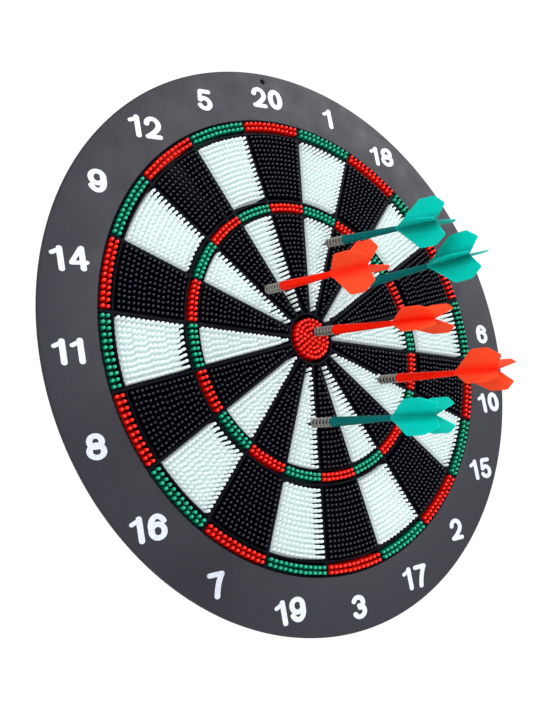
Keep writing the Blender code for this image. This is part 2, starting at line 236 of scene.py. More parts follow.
DART_STEPS = 32

# Printed numbers: cap height, pen sizes and where they stand
NUMBER_HEIGHT = 16.5
NUMBER_RADIUS = 189.8 * MM
NUMBER_TURN = math.radians(0.2)
NUMBER_DROP = 1.9 * MM
NUMBER_SHIFT = 0.6 * MM
PRINT_THICKNESS = 0.12 * MM
PEN_SQUASH = 0.76
PEN = 2.1
WIDE_PEN = 2.3
FINE_PEN = 1.7

# Stage: the camera's angles are in degrees and its lens is in millimetres
FLOOR_AT = (0, 0, -0.6)
FLOOR_PROFILE = ((0.97, -0.012), (1.0, -0.006), (1.0, 0.0), (0.99, 0.004))
FLOOR_STEPS = 96
CAMERA_AT = (-0.4227, -0.5075, -0.1064)
CAMERA_PAN = 37.68
CAMERA_TILT = 8.78
CAMERA_ROLL = -9.97
CAMERA_LENS = 45.66


# ---------------------------------------------------------------- geometry


def board_point(radius, turn, stand):
    """Place on the board, as the top of this file says."""
    return Vector((radius * math.sin(turn), -stand, radius * math.cos(turn)))


def axis_point(radius, turn, distance):
    """Place round the Z axis, its turn counted from +Y."""
    return Vector((radius * math.sin(turn), radius * math.cos(turn), distance))


def sector_turn(sector):
    """Turn of a sector's middle."""
    return FIELD_TURN + sector * SECTOR_TURN


class Shape:
    """Points and faces gathered for one piece."""

    def __init__(self):
        self.points = []
        self.faces = []

    def add(self, points, faces):
        start = len(self.points)
        self.points.extend(tuple(point) for point in points)
        self.faces.extend(tuple(start + corner for corner in face) for face in faces)

    def loops(self, loops, joined=False, capped=False):
        """Bands of quads between closed loops of equally many points."""
        count = len(loops[0])
        faces = []
        rows = len(loops) if joined else len(loops) - 1
        for row in range(rows):
            near, far = row * count, (row + 1) % len(loops) * count
            for step in range(count):
                after = (step + 1) % count
                faces.append((near + step, near + after, far + after, far + step))
        if capped:
            faces.append(tuple(range(count)))
            faces.append(tuple((len(loops) - 1) * count + step for step in range(count)))
        self.add([point for loop in loops for point in loop], faces)

    def turned(self, profile, place, steps, joined=False, capped=False, first=0.0):
        """A profile turned round an axis."""
        turns = [first + 2 * math.pi * step / steps for step in range(steps)]
        loops = [[place(radius, turn, along) for turn in turns] for radius, along in profile]
        self.loops(loops, joined, capped)

    def prism(self, outline, back, front):
        """An outline on the board, solid between two distances from the wall."""
        loops = [[board_point(radius, turn, stand) for radius, turn in outline]
                 for stand in (back, front)]
        self.loops(loops, capped=True)

    def mesh(self, name, merge=0.0):
        made = bpy.data.meshes.new(name)
        made.from_pydata(self.points, [], self.faces)
        work = bmesh.new()
        work.from_mesh(made)
        if merge:
            bmesh.ops.remove_doubles(work, verts=work.verts, dist=merge)
        bmesh.ops.recalc_face_normals(work, faces=work.faces)
        work.to_mesh(made)
        work.free()
        return made


def place_mesh(name, mesh, matrix=None):
    thing = bpy.data.objects.new(name, mesh)
    bpy.context.scene.collection.objects.link(thing)
    if matrix:
        thing.matrix_world = matrix
    return thing


def finish_piece(thing, body, slot, replaced=(), sharp=35):
    """Shading, material and place in the frame of a piece."""
    thing.data.shade_smooth()
    thing.data.set_sharp_from_angle(angle=math.radians(sharp))
    thing.data.materials.clear()
    thing.data.materials.append(MATERIALS[slot])
    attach(thing, body)
    if replaced:
        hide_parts(*replaced)
    return thing


def cut(thing, cutter, operation="DIFFERENCE"):
    """Applies a Boolean with another object and removes that object."""
    modifier = thing.modifiers.new("cut", "BOOLEAN")
    modifier.operation = operation
    modifier.solver = "EXACT"
    modifier.object = cutter
    bpy.context.view_layer.update()
    graph = bpy.context.evaluated_depsgraph_get()
    result = bpy.data.meshes.new_from_object(thing.evaluated_get(graph))
    thing.modifiers.clear()
    thing.data = result
    bpy.data.objects.remove(cutter, do_unlink=True)


def rounding(size, steps):
    """(inset, drop) along a quarter round, from the side wall to the face."""
    return [(size * (1 - math.sin(angle)), size * (1 - math.cos(angle)))
            for angle in np.linspace(0, math.pi / 2, steps)]


def sector_outline(sector, band, side):
    """Outline of one sector's cell: arcs between two lines set in from the sector's edges."""
    inner, outer = band
    middle = sector_turn(sector)
    points = []
    for radius, direction in ((inner, 1), (outer, -1)):
        half = SECTOR_TURN / 2 - math.asin(side / radius)
        for step in range(ARC_STEPS + 1):
            points.append((radius, middle + direction * (2 * step / ARC_STEPS - 1) * half))
    return points


# ---------------------------------------------------------------- materials


class Nodes:
    """Short hand for building one material's nodes."""

    def __init__(self, name):
        self.material = bpy.data.materials.new(name)
        self.material.use_nodes = True
        self.tree = self.material.node_tree
        self.shader = self.tree.nodes["Principled BSDF"]
        self.place = self.tree.nodes.new("ShaderNodeTexCoord").outputs["Object"]

    def link(self, source, target):
        self.tree.links.new(source, target)

    def noise(self, size, detail=2.0, rough=0.5):
        node = self.tree.nodes.new("ShaderNodeTexNoise")
        node.inputs["Scale"].default_value = 1 / size
        node.inputs["Detail"].default_value = detail
        node.inputs["Roughness"].default_value = rough
        self.link(self.place, node.inputs["Vector"])
        return node.outputs["Fac"]

    def ranged(self, value, start, end, low, high):
        node = self.tree.nodes.new("ShaderNodeMapRange")
        node.inputs["From Min"].default_value = start
        node.inputs["From Max"].default_value = end
        node.inputs["To Min"].default_value = low
        node.inputs["To Max"].default_value = high
        self.link(value, node.inputs["Value"])
        return node.outputs["Result"]

    def mixed(self, share, first, second):
        """Colour between two others, each a triple or a socket."""
        node = self.tree.nodes.new("ShaderNodeMix")
        node.data_type = "RGBA"
        self.link(share, node.inputs["Factor"])
        for socket, colour in ((node.inputs[6], first), (node.inputs[7], second)):
            if isinstance(colour, tuple):
                socket.default_value = (*colour, 1)
            else:
                self.link(colour, socket)
        return node.outputs[2]

    def bump(self, height, distance, strength, under=None):
        node = self.tree.nodes.new("ShaderNodeBump")
        node.inputs["Distance"].default_value = distance
        node.inputs["Strength"].default_value = strength
        self.link(height, node.inputs["Height"])
        if under:
            self.link(under, node.inputs["Normal"])
        return node.outputs["Normal"]

    def away_from_axis(self):
        """Distance from the object's own Z axis."""
        split = self.tree.nodes.new("ShaderNodeSeparateXYZ")
        self.link(self.place, split.inputs[0])
        flat = self.tree.nodes.new("ShaderNodeCombineXYZ")
        self.link(split.outputs["X"], flat.inputs["X"])
        self.link(split.outputs["Y"], flat.inputs["Y"])
        length = self.tree.nodes.new("ShaderNodeVectorMath")
        length.operation = "LENGTH"
        self.link(flat.outputs[0], length.inputs[0])
        return length.outputs["Value"]

    def stand(self):
        """Distance from the wall, for pieces whose object sits at the origin."""
        split = self.tree.nodes.new("ShaderNodeSeparateXYZ")
        self.link(self.place, split.inputs[0])
        return self.ranged(split.outputs["Y"], -1, 0, 1, 0)


def shaded(colour, share):
    """Lighter or darker form of a colour."""
    return tuple(channel * share for channel in colour)


def moulded_plastic(name, colour, roughness, grain, grain_depth, patch, variation, specular):
    """Moulded plastic: a fine speckled grain, soft patches of tone and uneven gloss."""
    nodes = Nodes(name)
    patches = nodes.noise(patch, 3)
    tone = nodes.mixed(patches, shaded(colour, 1 - variation), shaded(colour, 1 + variation))
    speckle = nodes.ranged(nodes.noise(4 * grain, 2, 0.8), 0.38, 0.62, 0, 0.4)
    nodes.link(nodes.mixed(speckle, tone, shaded(colour, 0.5)), nodes.shader.inputs["Base Color"])
    gloss = nodes.ranged(nodes.noise(patch / 3, 2), 0.3, 0.7, roughness - 0.05, roughness + 0.06)
    nodes.link(gloss, nodes.shader.inputs["Roughness"])
    waves = nodes.bump(nodes.noise(patch / 2, 1), 0.02 * MM, 0.2)
    grains = nodes.bump(nodes.noise(grain, 3, 0.6), grain_depth, 0.6, waves)
    nodes.link(grains, nodes.shader.inputs["Normal"])
    nodes.shader.inputs["Specular IOR Level"].default_value = specular
    return nodes.material


def pin_rubber(name, tip, root, roughness, glow):
    """Soft rubber pins: painted shade that deepens the colour towards the foot, where the pins shade one
    another, and slightly uneven from pin to pin.

    The glow is painted light: an emission that stands in for the light that passes through pale rubber from
    pin to pin, which is strongest between the pins.
    """
    nodes = Nodes(name)
    height = nodes.ranged(nodes.stand(), PIN_STAND - 3.5 * MM, PIN_STAND - 0.4 * MM, 0, 1)
    # painted shade: the colour runs from the darker root colour low down to the tip colour near the top,
    # for the shade between the pins
    body = nodes.mixed(height, root, tip)
    blotches = nodes.noise(4 * MM, 1)
    tone = nodes.mixed(nodes.ranged(blotches, 0.35, 0.65, 0, 0.35), body, shaded(tip, 0.82))
    nodes.link(tone, nodes.shader.inputs["Base Color"])
    gloss = nodes.ranged(nodes.noise(1.5 * MM, 1), 0.3, 0.7, roughness - 0.05, roughness + 0.08)
    nodes.link(gloss, nodes.shader.inputs["Roughness"])
    skin = nodes.bump(nodes.noise(0.5 * MM, 2), 0.03 * MM, 0.5)
    nodes.link(skin, nodes.shader.inputs["Normal"])
    nodes.link(nodes.ranged(height, 0, 1, 0.05, 0.5), nodes.shader.inputs["Specular IOR Level"])
    # painted light: the pins glow in their root colour, more strongly towards the foot
    nodes.shader.inputs["Emission Color"].default_value = (*root, 1)
    painted_glow_strength = nodes.ranged(height, 0, 1, 1.35 * glow, 0.5 * glow)
    nodes.link(painted_glow_strength, nodes.shader.inputs["Emission Strength"])
    return nodes.material


def flight_sheet(name, spine, sheet, roughness):
    """Thin translucent plastic: saturated where it thickens at the spine, paler further out."""
    nodes = Nodes(name)
    out = nodes.ranged(nodes.away_from_axis(), SPINE_REAR_RADIUS, 7 * MM, 0, 1)
    blend = nodes.mixed(out, spine, sheet)
    cloud = nodes.noise(9 * MM, 2)
    tone = nodes.mixed(nodes.ranged(cloud, 0.3, 0.7, 0, 0.25), blend, shaded(sheet, 0.86))
    nodes.link(tone, nodes.shader.inputs["Base Color"])
    gloss = nodes.ranged(nodes.noise(3 * MM, 2), 0.3, 0.7, roughness - 0.06, roughness + 0.08)
    nodes.link(gloss, nodes.shader.inputs["Roughness"])
    waves = nodes.bump(nodes.noise(6 * MM, 1), 0.12 * MM, 0.3)
    grains = nodes.bump(nodes.noise(0.4 * MM, 2), 0.012 * MM, 0.5, waves)
    nodes.link(grains, nodes.shader.inputs["Normal"])
    nodes.shader.inputs["Specular IOR Level"].default_value = 0.05
    return nodes.material


def tip_rubber(name, ridge, slot):
    """Soft grey rubber, darker down in the slots by painted shade, and duller there."""
    nodes = Nodes(name)
    # painted shade: near the axis, down in the slots, the colour turns to the dark slot colour
    painted_slot_shade = nodes.ranged(nodes.away_from_axis(), 2.3 * MM, 3.1 * MM, 1, 0)
    worn = nodes.mixed(nodes.noise(2 * MM, 3), shaded(ridge, 0.85), shaded(ridge, 1.15))
    nodes.link(nodes.mixed(painted_slot_shade, worn, slot), nodes.shader.inputs["Base Color"])
    nodes.link(nodes.ranged(painted_slot_shade, 0, 1, 0.5, 0.85), nodes.shader.inputs["Roughness"])
    skin = nodes.bump(nodes.noise(0.35 * MM, 2), 0.03 * MM, 0.5)
    nodes.link(skin, nodes.shader.inputs["Normal"])
    return nodes.material


def make_plastics():
    """Hard parts: colour, roughness, grain size and depth, patch size, variation and gloss."""
    plastics = {
        "ring_grey": ((0.0215, 0.0222, 0.031), 0.6, 0.5 * MM, 0.09 * MM, 60 * MM, 0.04, 0.25),
        # grid_grey is painted shade: the ribs are dark grey like the ring but are coloured near black, for
        # the shade they lie in among the pins
        "grid_grey": ((0.002, 0.0025, 0.007), 0.65, 0.4 * MM, 0.03 * MM, 9 * MM, 0.12, 0.06),
        "tray_black": ((0.02, 0.02, 0.022), 0.55, 0.6 * MM, 0.06 * MM, 30 * MM, 0.12, 0.5),
        "print_white": ((0.63, 0.67, 0.77), 0.5, 0.5 * MM, 0.02 * MM, 6 * MM, 0.04, 0.5),
        "shaft_teal": ((0.002, 0.135, 0.13), 0.36, 0.4 * MM, 0.012 * MM, 8 * MM, 0.06, 0.05),
        "shaft_red": ((1.0, 0.012, 0.001), 0.36, 0.4 * MM, 0.012 * MM, 8 * MM, 0.06, 0.05),
    }
    return {name: moulded_plastic(name, *look) for name, look in plastics.items()}


def make_rubbers():
    """Pins: colours at the tip and the root, roughness and glow; the root colour is painted shade and the
    glow is painted light.
    """
    rubbers = {
        "pin_black": ((0.002, 0.003, 0.010), (0.001, 0.0015, 0.005), 0.36, 0.0),
        "pin_white": ((0.70, 0.765, 0.77), (0.64, 0.735, 0.725), 0.38, 0.2),
        "pin_red": ((0.95, 0.013, 0.002), (0.5, 0.002, 0.001), 0.32, 0.0),
        "pin_green": ((0.002, 0.40, 0.22), (0.001, 0.07, 0.04), 0.3, 0.0),
    }
    return {name: pin_rubber(name, *look) for name, look in rubbers.items()}


def make_sheets():
    """Flights: colours at the spine and further out, and roughness."""
    sheets = {
        "flight_teal": ((0.001, 0.26, 0.23), (0.001, 0.58, 0.48), 0.42),
        "flight_red": ((1.0, 0.015, 0.002), (1.0, 0.078, 0.024), 0.42),
    }
    return {name: flight_sheet(name, *look) for name, look in sheets.items()}


# ---------------------------------------------------------------- number ring


def make_number_ring():
    """Flat ring with a rounded rim and the hole that the board hangs by."""
    size, small = PLATE_EDGE_ROUND, OPENING_EDGE_ROUND
    outer_face = [(BOARD_RADIUS - inset, FACE_STAND - drop) for inset, drop in rounding(size, 7)]
    outer_back = [(BOARD_RADIUS - drop, PLATE_BACK + inset) for inset, drop in rounding(small, 4)]
    inner_face = [(OPENING_RADIUS + drop, FACE_STAND - inset) for inset, drop in rounding(small, 4)]
    profile = [(OPENING_RADIUS, PLATE_BACK)] + inner_face + outer_face + outer_back
    ring = Shape()
    ring.turned(profile, board_point, PLATE_STEPS, joined=True)
    plate = place_mesh("face_ring", ring.mesh("face_ring"))
    at_hole = Matrix.Translation(board_point(HANG_HOLE_CENTRE, HANG_HOLE_TURN, 0))
    boss = Shape()
    rounded = HANG_BOSS_RADIUS - OPENING_EDGE_ROUND
    boss.turned(
        (
            (rounded, HANG_BOSS_BACK),
            (HANG_BOSS_RADIUS, HANG_BOSS_BACK + OPENING_EDGE_ROUND),
            (HANG_BOSS_RADIUS, PLATE_BACK + CUT_PAST),
        ),
        board_point, HOLE_STEPS, capped=True,
    )
    cut(plate, place_mesh("boss", boss.mesh("boss"), at_hole), "UNION")
    hole = Shape()
    flare = HANG_HOLE_RADIUS + HOLE_CHAMFER + CUT_PAST
    hole.turned(
        (
            (HANG_HOLE_RADIUS, HANG_BOSS_BACK - CUT_PAST),
            (HANG_HOLE_RADIUS, FACE_STAND - HOLE_CHAMFER),
            (flare, FACE_STAND + CUT_PAST),
        ),
        board_point, HOLE_STEPS, capped=True,
    )
    cut(plate, place_mesh("hole", hole.mesh("hole"), at_hole))
    finish_piece(plate, BOARD, "ring_grey", ["number_ring"])


# Each digit has its width, the gap that follows it and its strokes, in millimetres from its
# lower left corner. A line has its two ends, a bend its start, pull and end, and an arc its
# centre, radii and angles in degrees; each stroke ends with its pen.
LOW, TOP = PEN * PEN_SQUASH, NUMBER_HEIGHT - PEN * PEN_SQUASH
SIX_BOWL = ("arc", 7.0, 5.85, 4.6, 4.1, 0, 360, PEN)
SIX_BACK = ("arc", 7.5, 8.3, 5.05, 6.45, 30, 205, PEN)
DIGITS = {
    "0": (14.0, 1.4, (("arc", 7.0, 8.25, 4.45, 6.35, 0, 360, WIDE_PEN),)),
    "1": (9.5, 2.4, (("line", 7.1, LOW, 7.1, TOP, PEN), ("line", 1.8, 12.1, 6.4, 13.9, FINE_PEN))),
    "2": (14.0, 1.3, (
        ("arc", 7.0, 10.4, 4.6, 4.35, 172, -38, PEN),
        ("bend", 10.6, 7.7, 8.4, 5.0, 3.0, LOW + 0.2, PEN),
        ("line", 2.3, LOW, 11.7, LOW, PEN))),
    "3": (13.6, 1.4, (
        ("arc", 6.8, 11.2, 4.2, 3.55, 158, -80, PEN),
        ("arc", 6.7, 5.4, 4.6, 3.65, 85, -158, PEN))),
    "4": (14.6, 1.4, (
        ("line", 9.9, LOW, 9.9, TOP, PEN),
        ("line", 2.2, 5.6, 12.6, 5.6, FINE_PEN),
        ("line", 2.3, 5.9, 9.3, TOP, FINE_PEN))),
    "5": (13.3, 1.4, (
        ("line", 4.4, TOP, 10.9, TOP, PEN),
        ("line", 3.7, TOP - 0.3, 2.9, 8.3, FINE_PEN),
        ("arc", 6.6, 5.7, 4.5, 3.95, 140, -155, PEN))),
    "6": (14.0, 1.4, (SIX_BOWL, SIX_BACK)),
    "7": (13.6, 1.4, (
        ("line", 2.3, TOP, 11.3, TOP, PEN),
        ("bend", 11.2, TOP - 0.2, 7.0, 9.4, 5.4, LOW, PEN))),
    "8": (14.2, 1.4, (
        ("arc", 7.1, 11.35, 4.1, 3.4, 0, 360, PEN),
        ("arc", 7.1, 5.45, 4.75, 3.7, 0, 360, PEN))),
    "9": (14.0, 1.4, (SIX_BOWL, SIX_BACK)),
}
TURNED_DIGITS = ("9",)


def stroke_line(stroke):
    """Points along the middle of a stroke, its pen, and whether it closes on itself."""
    kind, numbers, pen = stroke[0], stroke[1:-1], stroke[-1]
    if kind == "line":
        x0, y0, x1, y1 = numbers
        return [(x0, y0), (x1, y1)], pen, False
    if kind == "bend":
        x0, y0, px, py, x1, y1 = numbers
        shares = np.linspace(0, 1, 9)
        points = [((1 - s) ** 2 * x0 + 2 * s * (1 - s) * px + s * s * x1,
                   (1 - s) ** 2 * y0 + 2 * s * (1 - s) * py + s * s * y1) for s in shares]
        return points, pen, False
    cx, cy, rx, ry, start, end = numbers
    closed = end - start == 360
    angles = np.radians(np.linspace(start, end, 33)[: 32 if closed else 33])
    return [(cx + rx * math.cos(a), cy + ry * math.sin(a)) for a in angles], pen, closed


def stroke_outlines(stroke):
    """The two edges of a stroke drawn with a round pen that is squashed in height."""
    points, pen, closed = stroke_line(stroke)
    tall = [Vector((x, y / PEN_SQUASH)) for x, y in points]
    count = len(tall)
    sides = []
    for index, point in enumerate(tall):
        before = tall[index - 1] if index or closed else point
        after = tall[(index + 1) % count] if index < count - 1 or closed else point
        along = (after - before).normalized()
        sides.append((point, Vector((-along.y, along.x)) * pen, along * pen))
    left = [point + side for point, side, _ in sides]
    right = [point - side for point, side, _ in sides]
    if closed:
        return [left, right], True
    turns = np.radians(np.linspace(90, -90, 11))[1:-1]
    point, side, along = sides[-1]
    end_cap = [point + side * math.sin(t) + along * math.cos(t) for t in turns]
    point, side, along = sides[0]
    start_cap = [point - side * math.sin(t) - along * math.cos(t) for t in turns]
    return [left + end_cap + right[::-1] + start_cap], False


def digit_solid(digit, left, low):
    """Thin raised print of one digit, its lower left corner at a place on the face."""
    width, _, strokes = DIGITS[digit]
    made = None
    for stroke in strokes:
        edges, ring = stroke_outlines(stroke)
        if digit in TURNED_DIGITS:
            middle = Vector((width, NUMBER_HEIGHT / PEN_SQUASH))
            edges = [[middle - point for point in edge] for edge in edges]
        stands = (FACE_STAND - PRINT_THICKNESS, FACE_STAND + PRINT_THICKNESS)
        loops = [[(left + point.x * MM, -stand, low + point.y * PEN_SQUASH * MM) for point in edge]
                 for edge in edges for stand in stands]
        shape = Shape()
        if ring:
            shape.loops([loops[0], loops[1], loops[3], loops[2]], joined=True)
        else:
            shape.loops(loops, capped=True)
        part = place_mesh("stroke", shape.mesh("stroke"))
        if made:
            cut(made, part, "UNION")
        else:
            made = part
    return made


def make_numbers():
    """The sectors' numbers, upright all the way round the ring, as one piece of print."""
    shape = Shape()
    for sector, number in enumerate(NUMBERS):
        digits = str(number)
        widths = [DIGITS[digit][0] for digit in digits]
        gap = DIGITS[digits[0]][1]
        total = sum(widths) + gap * (len(digits) - 1)
        centre = board_point(NUMBER_RADIUS, NUMBER_TURN + sector * SECTOR_TURN, FACE_STAND)
        left = centre.x - NUMBER_SHIFT - total / 2 * MM
        low = centre.z - NUMBER_DROP - NUMBER_HEIGHT / 2 * MM
        for digit, width in zip(digits, widths):
            made = digit_solid(digit, left, low)
            points = [vertex.co for vertex in made.data.vertices]
            shape.add(points, [face.vertices for face in made.data.polygons])
            bpy.data.objects.remove(made, do_unlink=True)
            left += (width + gap) * MM
    numbers = place_mesh("sector_numbers", shape.mesh("sector_numbers"))
    finish_piece(numbers, BOARD, "print_white")


# ---------------------------------------------------------------- grid, mat and tray


def make_spider_grid():
    """Lattice of ribs with softened edges, one tile for each opening, on the rim round them."""
    ribs = ((WALL_INNER_RADIUS, WALL_RADIUS), DOUBLE_RIB, TRIPLE_OUTER_RIB, TRIPLE_INNER_RIB, BULL_RIB)
    tops = [(inner + outer) / 2 for inner, outer in ribs]
    bands = (
        (DOUBLE_RIB[1], WALL_INNER_RADIUS),
        (TRIPLE_OUTER_RIB[1], DOUBLE_RIB[0]),
        (TRIPLE_INNER_RIB[1], TRIPLE_OUTER_RIB[0]),
        (BULL_RIB[1], TRIPLE_INNER_RIB[0]),
    )
    edge = [(RIB_ROUND * (1 - math.sin(angle)), RIB_ROUND * (1 - math.cos(angle)))
            for angle in np.radians((0, 35, 65, 90))]
    grid = Shape()
    for sector in range(SECTORS):
        for index, band in enumerate(bands):
            border = sector_outline(sector, (tops[index + 1], tops[index]), 0)
            levels = [(border, FACE_STAND)]
            for inset, drop in edge:
                room = (band[0] - inset, band[1] + min(inset, tops[index] - band[1]))
                opening = sector_outline(sector, room, SPOKE_HALF_WIDTH - inset)
                levels.append((opening, FACE_STAND - drop))
            levels.append((sector_outline(sector, band, SPOKE_HALF_WIDTH), GRID_BACK))
            levels.append((border, GRID_BACK))
            grid.loops([[board_point(radius, turn, stand) for radius, turn in outline]
                        for outline, stand in levels])
    first = sector_turn(-0.5)
    rim = (
        (tops[0], FACE_STAND),
        (WALL_RADIUS, FACE_STAND - RIB_ROUND / 2),
        (WALL_RADIUS, RIM_TOP),
        (RIM_RADIUS, RIM_TOP),
        (RIM_RADIUS, PAD_FOOT),
        (RIM_INNER_RADIUS, PAD_FOOT),
        (RIM_INNER_RADIUS, GRID_BACK),
        (tops[0], GRID_BACK),
    )
    grid.turned(rim, board_point, GRID_STEPS, first=first)
    hub = [(tops[-1], GRID_BACK), (BULL_RIB[0], GRID_BACK)]
    hub += [(BULL_RIB[0] + inset, FACE_STAND - drop) for inset, drop in reversed(edge)]
    hub.append((tops[-1], FACE_STAND))
    grid.turned(hub, board_point, GRID_STEPS, first=first)
    piece = place_mesh("rib_grid", grid.mesh("rib_grid", merge=LEAST))
    # the ribs' near-black colour is painted shade from the pins around them
    finish_piece(piece, BOARD, "grid_grey", ["spider_grid"])


def make_mat():
    """Rubber sheet on the tray's floor, under all the pins."""
    mat = Shape()
    profile = ((RIM_RADIUS, MAT_BACK), (RIM_RADIUS, MAT_TOP))
    mat.turned(profile, board_point, GRID_STEPS, capped=True)
    finish_piece(place_mesh("floor_mat", mat.mesh("floor_mat")), BOARD, "pin_black")


def make_tray():
    """Shallow tray: flat moulded back with ring grooves, rounded edge and a low wall."""
    inner = RIM_RADIUS + TRAY_GAP
    low_rim = TRAY_RIM - TRAY_RIM_ROUND
    profile = [(inner, TRAY_FLOOR), (inner, low_rim), (inner + TRAY_RIM_ROUND, TRAY_RIM)]
    profile += [(TRAY_RADIUS - TRAY_RIM_ROUND, TRAY_RIM), (TRAY_RADIUS, low_rim)]
    profile += [(TRAY_RADIUS - inset, drop) for inset, drop in reversed(rounding(TRAY_EDGE_ROUND, 6))]
    for groove in TRAY_GROOVES:
        far, near = groove + GROOVE_HALF_WIDTH, groove - GROOVE_HALF_WIDTH
        profile += [(far, 0), (far - GROOVE_SLOPE, GROOVE_DEPTH)]
        profile += [(near + GROOVE_SLOPE, GROOVE_DEPTH), (near, 0)]
    tray = Shape()
    tray.turned(profile, board_point, GRID_STEPS, capped=True)
    finish_piece(place_mesh("tray_shell", tray.mesh("tray_shell")), BOARD, "tray_black", ["back_tray"])


# ---------------------------------------------------------------- darts' places


def dart_frame(body):
    """Dart's own frame, read from its joint's axis and its nodes: +Z to the tail, +Y up."""
    joint = next(joint for joint in frame["joints"] if joint["child"] == body)
    back = Vector(joint["axis"]).normalized()
    right = Vector((0, 0, 1)).cross(back).normalized()
    up = back.cross(right)
    shaft = frame["nodes"][body + "_shaft"].data.vertices
    points = np.array([(vertex.co.dot(right), vertex.co.dot(up)) for vertex in shaft])
    across, rise = (points.min(axis=0) + points.max(axis=0)) / 2
    middle = right * across + up * rise
    origin = middle + back * ((-PIN_STAND - middle.y) / back.y)
    turned = Matrix((right, up, back)).transposed().to_4x4()
    return Matrix.Translation(origin) @ turned


def vane_turns(body, place):
    """Turns of the flight's vanes from the dart's up, read from the flight's node."""
    inside = place.inverted()
    points = [(inside @ vertex.co).xy for vertex in frame["nodes"][body + "_flight"].data.vertices]
    far = [point for point in points if point.length > TAIL_CORNER[1] / 2]
    turns = []
    while far:
        close = [point.angle(far[0]) < VANE_SPREAD for point in far]
        middle = sum((point for point, near in zip(far, close) if near), Vector((0, 0)))
        turns.append(math.atan2(middle.x, middle.y))
        far = [point for point, near in zip(far, close) if not near]
    return turns


DARTS = {body: dart_frame(body) for body in frame["bodies"] if body != BOARD}


def pushed_out(places, stand, pin_radius):
    """Pins' middles moved clear of the darts' noses at one distance from the wall."""
    depth = PIN_STAND - stand
    moved = places.copy()
    if depth > NOSE_DEPTH:
        return moved
    nose = np.interp(depth, (0, SHOULDER_DEPTH, NOSE_DEPTH), (TIP_RADIUS, SHOULDER_RADIUS, NOSE_RADIUS))
    clear = nose + pin_radius
    for place in DARTS.values():
        origin, back = place.translation, place.to_3x3().col[2]
        point = origin + back * ((-stand - origin.y) / back.y)
        away = moved - np.array((point.x, point.z))
        distance = np.linalg.norm(away, axis=1).clip(LEAST)
        short = distance < clear
        moved[short] += away[short] * (clear / distance[short] - 1)[:, None]
    return moved


def kept_in_cell(places, sector, pin_radius):
    """Pins' middles held between the sector's two ribs."""
    middle = sector_turn(sector)
    along = np.array((math.sin(middle), math.cos(middle)))
    across = np.array((math.cos(middle), -math.sin(middle)))
    out, side = places @ along, places @ across
    half = SECTOR_TURN / 2
    limit = (out * math.tan(half) - (SPOKE_HALF_WIDTH + pin_radius) / math.cos(half)).clip(0)
    return out[:, None] * along + side.clip(-limit, limit)[:, None] * across


def parted(places, pin_radius, sector):
    """Where the pins' tips rest round the darts: clear of them and of one another."""
    moved = places.copy()
    width = 2 * pin_radius
    for _ in range(PARTED_ROUNDS):
        moved += (places - moved) * PULL_BACK
        apart = moved[:, None] - moved[None]
        distance = np.linalg.norm(apart, axis=2)
        touching = (distance < width) & (distance > 0)
        push = np.where(touching, (width - distance) / 2 / distance.clip(LEAST), 0)
        moved += (apart * push[..., None]).sum(axis=1)
        moved = pushed_out(moved, PIN_STAND - TIP_TOUCH, pin_radius * TIP_TOUCH_SHARE)
        if sector is not None:
            moved = kept_in_cell(moved, sector, pin_radius - OVER_RIB)
    return moved


# ---------------------------------------------------------------- pins


def row_places(radius, count, half, middle):
    """Evenly spread pins along an arc, half of it on each side of its middle."""
    turns = middle + (np.linspace(-half, half, count) if count > 1 else np.zeros(1))
    return np.stack((radius * np.sin(turns), radius * np.cos(turns)), axis=1)


def single_places(sector, rows):
    """Rows of pins across a sector, each row with as many as fit."""
    count, first, last = rows
    places = []
    for radius in np.linspace(first, last, count):
        width = 2 * (radius * math.sin(SECTOR_TURN / 2) - ROW_END_GAP)
        pins = 1 + round(width / PIN_SPACING)
        half = math.asin(min(1, max(0, width / 2 / radius)))
        places.append(row_places(radius, pins, half, sector_turn(sector)))
    return np.concatenate(places)


def ring_places(sector, rows, pins):
    """A scoring ring's rows of pins across one sector."""
    count, half = pins
    return np.concatenate([row_places(radius, count, half, sector_turn(sector)) for radius in rows])


def bull_places():
    """Rings of pins round the one in the middle."""
    places = [np.zeros((1, 2))]
    for row in range(1, BULL_ROWS + 1):
        radius = BULL_OUTER_ROW * row / BULL_ROWS
        turns = FIELD_TURN + np.arange(6 * row) * 2 * math.pi / (6 * row)
        places.append(np.stack((radius * np.sin(turns), radius * np.cos(turns)), axis=1))
    return np.concatenate(places)


def pin_levels(radius, root, bends):
    """(distance below the tip, share of the radius) for each ring of a domed pin."""
    length = PIN_STAND - root
    levels = [(length, PIN_TAPER)]
    for bend in range(1, bends + 1):
        share = bend / (bends + 1)
        levels.append((length * (1 - share) + radius * share, PIN_TAPER + (1 - PIN_TAPER) * share))
    for angle in np.radians((0, 30, 60)):
        levels.append((radius * (1 - math.sin(angle)), math.cos(angle)))
    return levels


